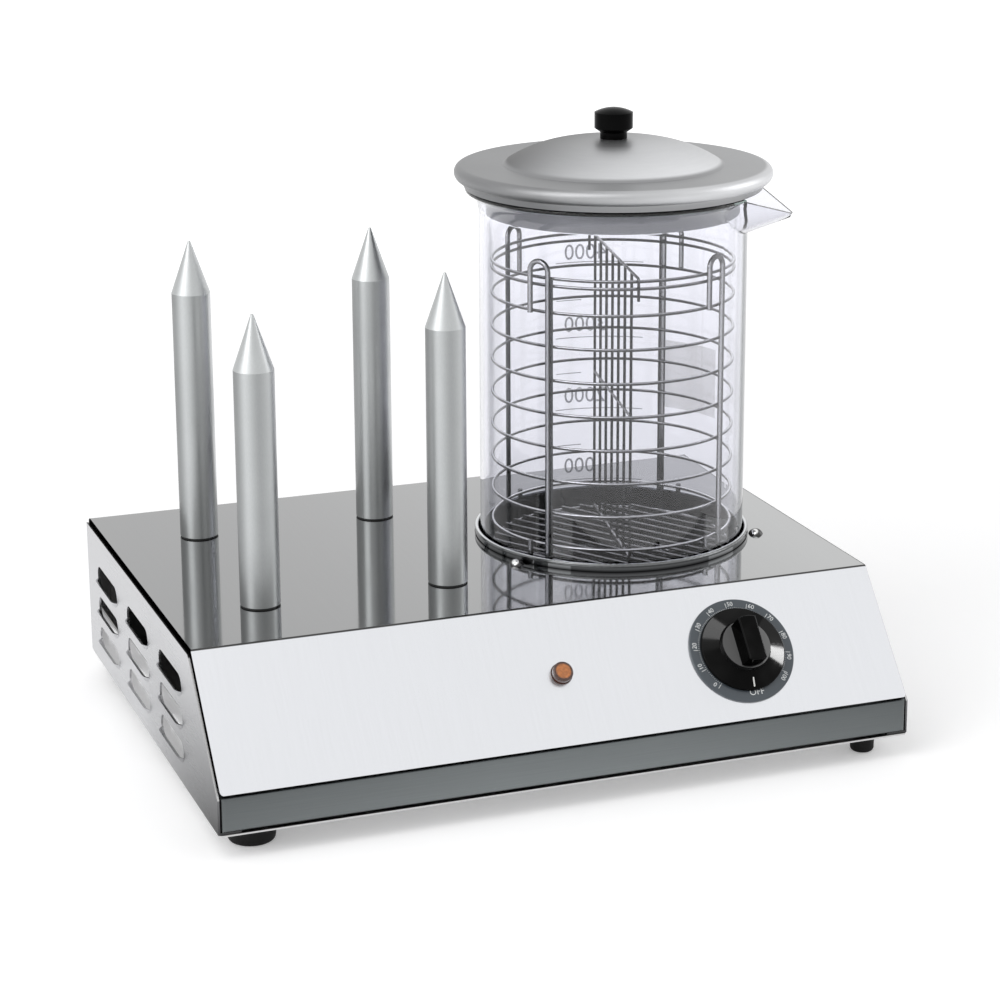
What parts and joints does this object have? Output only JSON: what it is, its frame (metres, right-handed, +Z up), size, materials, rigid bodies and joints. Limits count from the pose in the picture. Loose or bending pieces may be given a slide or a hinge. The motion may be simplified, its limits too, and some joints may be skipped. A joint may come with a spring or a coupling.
{
  "type": "hot dog warmer",
  "caption": "Low stainless countertop warmer with upright heated bun spikes, a slanted panel with dial and pilot lamp, and a lidded glass jar with a wire basket in a heated well.",
  "frame": {"origin": "on the floor plane under the feet, below the middle of the whole part", "axes": "+X to the right seen from the front, +Y towards the back, +Z up; the slanted control panel faces -Y"},
  "size_m": [0.4408, 0.3368, 0.3832],
  "materials": {
    "cover_steel": "fine brushed stainless sheet, nearly mirror bright",
    "side_steel": "satin stainless sheet",
    "band_steel": "brushed stainless sheet, a shade darker",
    "plate_steel": "plain stainless sheet",
    "foot_rubber": "moulded black rubber",
    "screw_steel": "bright plated steel",
    "bowl_steel": "pressed stainless bowl",
    "plain_aluminium": "machined aluminium",
    "element_steel": "heat tinted sheath",
    "copper": "drawn copper tube",
    "jar_glass": "clear borosilicate glass",
    "basket_wire": "bright stainless wire",
    "lid_aluminium": "satin spun aluminium",
    "lid_knob_black": "moulded black phenolic",
    "spike_aluminium": "brushed aluminium rod",
    "gasket_rubber": "thin black gasket",
    "dial_plate": "dark printed dial plate",
    "knob_black": "glossy black knob",
    "housing_plastic": "dark phenolic housing",
    "lens_amber": "clear amber lens",
    "gland_black": "moulded black nylon",
    "block_plastic": "cream ceramic or nylon strip",
    "brass_screw": "turned brass",
    "lead_sleeve": "glass fibre sleeved leads"
  },
  "bodies": {
    "casing": {"base_frame": "band_steel", "base_screws": "screw_steel", "bottom_plate": "plate_steel", "cable_gland": "gland_black", "capillary": "copper", "cartridge_heaters": "element_steel", "cover": "cover_steel", "dial_ring": "dial_plate", "earth_stud": "brass_screw", "element_clamp": "element_steel", "element_pins": "screw_steel", "foot_front_left": "foot_rubber", "foot_front_right": "foot_rubber", "foot_nuts": "screw_steel", "foot_rear_left": "foot_rubber", "foot_rear_right": "foot_rubber", "foot_studs": "screw_steel", "gland_nut": "gland_black", "heat_spreader": "plain_aluminium", "heating_bowl": "bowl_steel", "heating_element": "element_steel", "pilot_lamp_body": "housing_plastic", "pilot_lamp_nut": "screw_steel", "pilot_lens": "lens_amber", "rear_panel": "plate_steel", "rear_screws": "screw_steel", "side_panel_left": "side_steel", "side_panel_right": "side_steel", "spike_front_left": "spike_aluminium", "spike_front_right": "spike_aluminium", "spike_gaskets": "gasket_rubber", "spike_nuts": "screw_steel", "spike_rear_left": "spike_aluminium", "spike_rear_right": "spike_aluminium", "terminal_block": "block_plastic", "terminal_screws": "brass_screw", "thermostat_body": "housing_plastic", "thermostat_bulb": "copper", "thermostat_screws": "screw_steel", "well_nuts": "screw_steel", "well_screws": "screw_steel", "well_stud": "screw_steel", "well_stud_nut": "screw_steel", "wiring": "lead_sleeve"},
    "dial_knob": {"thermostat_knob": "knob_black", "thermostat_shaft": "screw_steel"},
    "jar": {"glass_jar": "jar_glass"},
    "basket": {"basket_rings": "basket_wire", "basket_posts": "basket_wire", "basket_uprights": "basket_wire", "basket_floor": "basket_wire"},
    "divider": {"basket_divider": "basket_wire"},
    "jar_lid": {"lid": "lid_aluminium", "lid_knob": "lid_knob_black", "lid_screw": "screw_steel"}
  },
  "joints": [
    {"name": "dial_turn", "type": "hinge", "parent": "casing", "child": "dial_knob", "pos_m": [0.117, -0.1375, 0.07293], "axis": [0, -0.7505, 0.6609], "range_deg": [-312, 0]},
    {"name": "glass_lift", "type": "slide", "parent": "casing", "child": "jar", "axis": [0, 0, 1], "range_m": [0, 0.06]},
    {"name": "basket_lift", "type": "slide", "parent": "jar", "child": "basket", "axis": [0, 0, 1], "range_m": [0, 0.28]},
    {"name": "divider_lift", "type": "slide", "parent": "basket", "child": "divider", "axis": [0, 0, 1], "range_m": [0, 0.23]},
    {"name": "lid_lift", "type": "slide", "parent": "divider", "child": "jar_lid", "axis": [0, 0, 1], "range_m": [0, 0.05]}
  ]
}
